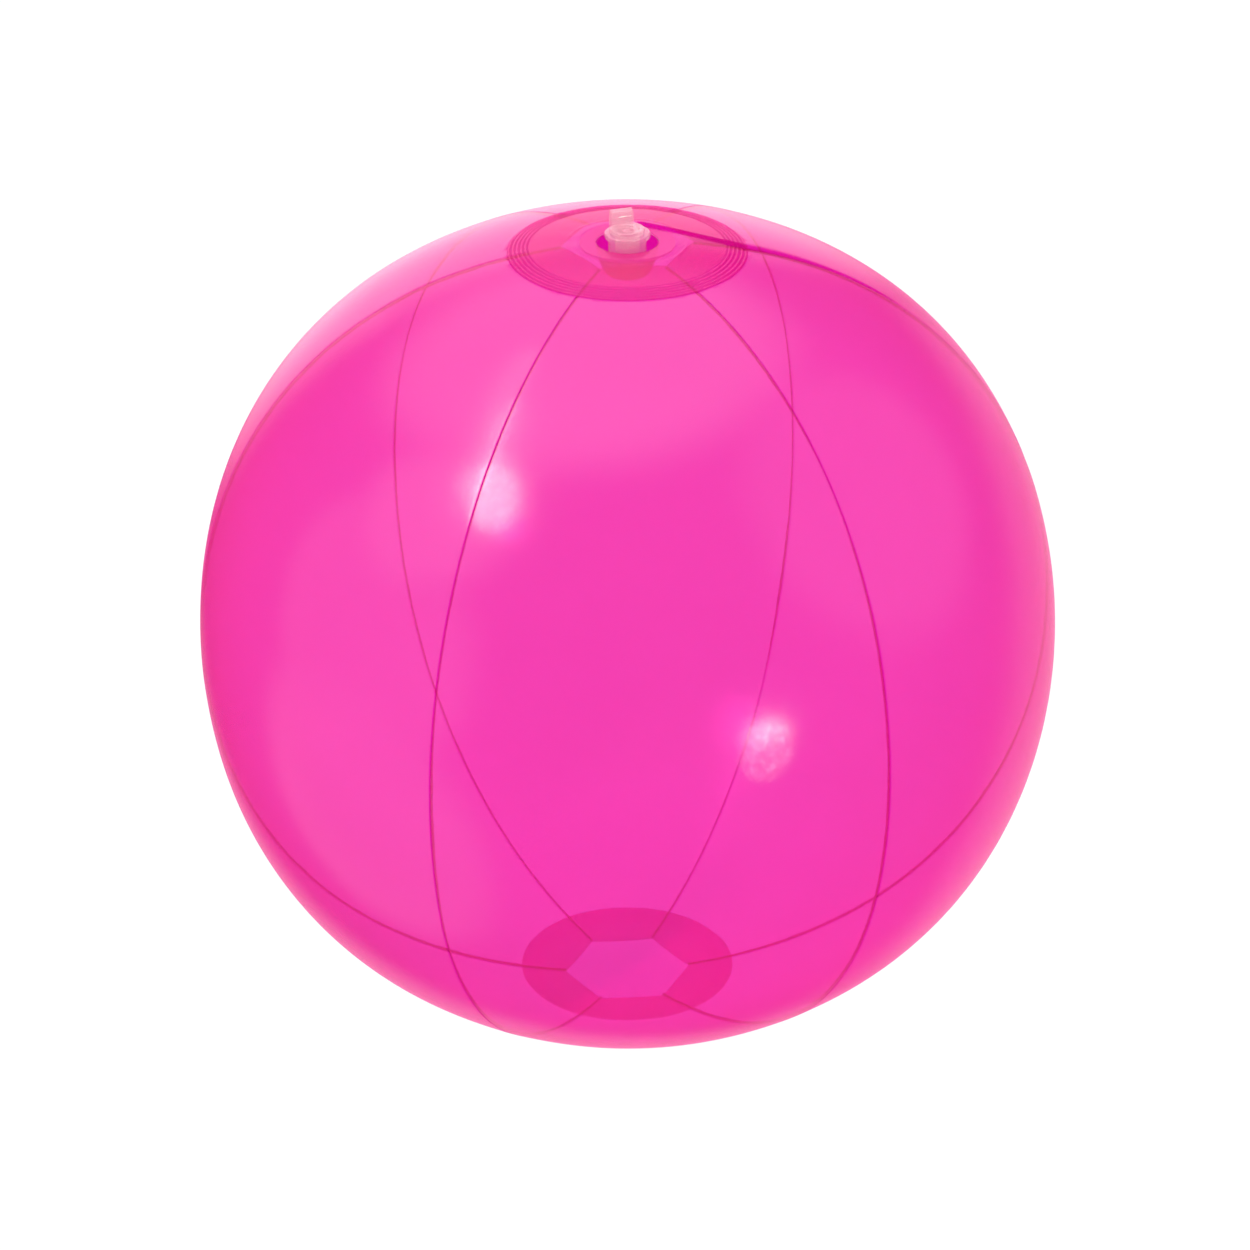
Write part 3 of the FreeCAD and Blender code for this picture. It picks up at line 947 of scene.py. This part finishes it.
def make_camera():
    data = bpy.data.cameras.new("camera")
    data.sensor_width = 36
    data.lens = LENS_MM
    camera = link(bpy.data.objects.new("camera", data))
    aim = CENTRE - CAMERA_RIGHT * AIM_LEFT - CAMERA_UP * AIM_DOWN
    camera.location = aim + TO_CAMERA * CAMERA_DISTANCE
    camera.rotation_euler = (-TO_CAMERA).to_track_quat("-Z", "Y").to_euler()
    bpy.context.scene.camera = camera


def make_floor():
    """White paper that is see-through from below."""
    corners = [(x * FLOOR_SIZE, y * FLOOR_SIZE, 0) for x, y in ((-1, -1), (1, -1), (1, 1), (-1, 1))]
    mesh = bpy.data.meshes.new("floor")
    mesh.from_pydata(corners, [], [(0, 1, 2, 3)])
    floor = link(bpy.data.objects.new("floor", mesh))
    floor.location.z = CAD_LOW.z - FLOOR_DROP
    n = Nodes(bpy.data.materials.new("white_paper"))
    glow = n.add("ShaderNodeEmission", {"Color": (1, 1, 1, 1), "Strength": FLOOR_GLOW}).outputs[0]
    matt = n.add("ShaderNodeBsdfDiffuse", {"Color": (FLOOR_GREY, FLOOR_GREY, FLOOR_GREY, 1)}).outputs[0]
    paper = n.add("ShaderNodeAddShader", {0: glow, 1: matt}).outputs[0]
    below = n.add("ShaderNodeNewGeometry").outputs["Backfacing"]
    unseen = n.add("ShaderNodeBsdfTransparent").outputs[0]
    sheet = n.add("ShaderNodeMixShader", {0: below, 1: paper, 2: unseen}).outputs[0]
    mesh.materials.append(n.finish(sheet))
    floor.visible_glossy = False


def mirrored_at(right, up):
    """The direction that the ball mirrors to the camera at a place on it, in radii from its centre."""
    towards = math.sqrt(1 - right**2 - up**2)
    return camera_way(2 * towards * right, 2 * towards * up, 2 * towards**2 - 1)


def area_light(name, place, width, height, radiance, along=(0, 1)):
    """A soft oval light that the ball mirrors at a place, its height along a direction there."""
    way = mirrored_at(*place)
    ahead = mirrored_at(place[0] + MIRROR_STEP * along[0], place[1] + MIRROR_STEP * along[1]) - way
    upright = (ahead - way * ahead.dot(way)).normalized()
    turn = Matrix((upright.cross(way), upright, way)).transposed()
    data = bpy.data.lights.new(name, "AREA")
    data.shape = "ELLIPSE"
    data.size, data.size_y = width, height
    area = width * height * math.pi / 4
    data.energy = radiance * math.pi * area
    data.color = LIGHT_TINT
    light = link(bpy.data.objects.new(name, data))
    light.location = CENTRE + way * LIGHT_DISTANCE
    light.rotation_euler = turn.to_euler()
    light.visible_camera = False


# What the ball mirrors: each bright patch's middle, the cosines where it starts and is full, its strength
MIRRORED_PATCHES = (
    (camera_way(-0.15, 0.98, 0.13), 0.70, 0.90, 1.25),
    (camera_way(-0.15, 0.55, -0.82), 0.85, 0.97, 1.3),
    (camera_way(0.50, 0.0, -0.87), 0.80, 0.97, 0.45),
    (camera_way(-0.10, -0.30, -0.95), 0.90, 0.99, 0.4),
    (camera_way(0.744, 0.400, 0.226), 0.78, 0.90, 0.45),
    (camera_way(-0.951, -0.070, 0.300), 0.83, 0.88, 0.5),
    (camera_way(-0.819, -0.569, -0.075), 0.84, 0.92, 0.62),
    (camera_way(-0.759, 0.412, 0.503), 0.90, 0.98, 1.0),
)


def make_world():
    """White all round, but mirrored rays see pink surroundings with a few bright patches, as in a studio."""
    world = bpy.data.worlds.new("studio")
    bpy.context.scene.world = world
    world.cycles.sampling_method = "NONE"
    n = Nodes(world)
    way = n.add("ShaderNodeTexCoord").outputs["Generated"]
    level = 0.0
    for axis, start, full, strength in MIRRORED_PATCHES:
        ends = {0: way, 1: tuple(axis)}
        along = n.add("ShaderNodeVectorMath", ends, operation="DOT_PRODUCT").outputs["Value"]
        spread = {"Value": along, "From Min": start, "From Max": full, "To Max": strength}
        patch = n.add("ShaderNodeMapRange", spread, interpolation_type="SMOOTHSTEP").outputs[0]
        level = n.math("MAXIMUM", level, patch)
    mirrored = n.add("ShaderNodeLightPath").outputs["Is Glossy Ray"]
    paper = n.math("MULTIPLY", n.math("SUBTRACT", 1.0, mirrored), WHITE)
    lit = n.math("MULTIPLY", mirrored, level)
    sky = n.add("ShaderNodeBackground", {"Color": (1, 1, 1, 1), "Strength": paper}).outputs[0]
    for colour, strength in ((MIRRORED_WHITE, lit), (MIRRORED_PINK, mirrored)):
        part = n.add("ShaderNodeBackground", {"Color": colour, "Strength": strength}).outputs[0]
        sky = n.add("ShaderNodeAddShader", {0: sky, 1: part}).outputs[0]
    n.finish(sky, "ShaderNodeOutputWorld")


def make_stage():
    scene = bpy.context.scene
    scene.view_settings.view_transform = "Standard"
    scene.cycles.transparent_max_bounces = 64
    scene.cycles.max_bounces = 12
    make_camera()
    make_floor()
    make_world()
    area_light("softbox", (-0.286, 0.285), 0.29, 0.47, 10.0)
    area_light("softbox_middle", (-0.272, 0.405), 0.17, 0.66, 4.0, SEAM_WAY)
    area_light("softbox_tail", (-0.238, 0.530), 0.17, 0.80, 1.5, SEAM_WAY)
    area_light("round_light", (0.306, -0.288), 0.30, 0.30, 21.0)


make_stage()
film = film_material()
clear = valve_material()
for number in range(GORES):
    make_gore(number, film)
top = make_cap("film_top_cap", "top_cap", MOAT_RADIUS, FLANGE_RADIUS, TOP_CAP_RADIUS, film, True)
bottom = make_cap("film_bottom_cap", "bottom_cap", 0, PATCH_RADIUS, BOTTOM_CAP_RADIUS, film, False)
make_web(film)
for make in (make_flange, make_stem, make_plug, make_strap, make_ring, make_flap):
    make(clear)
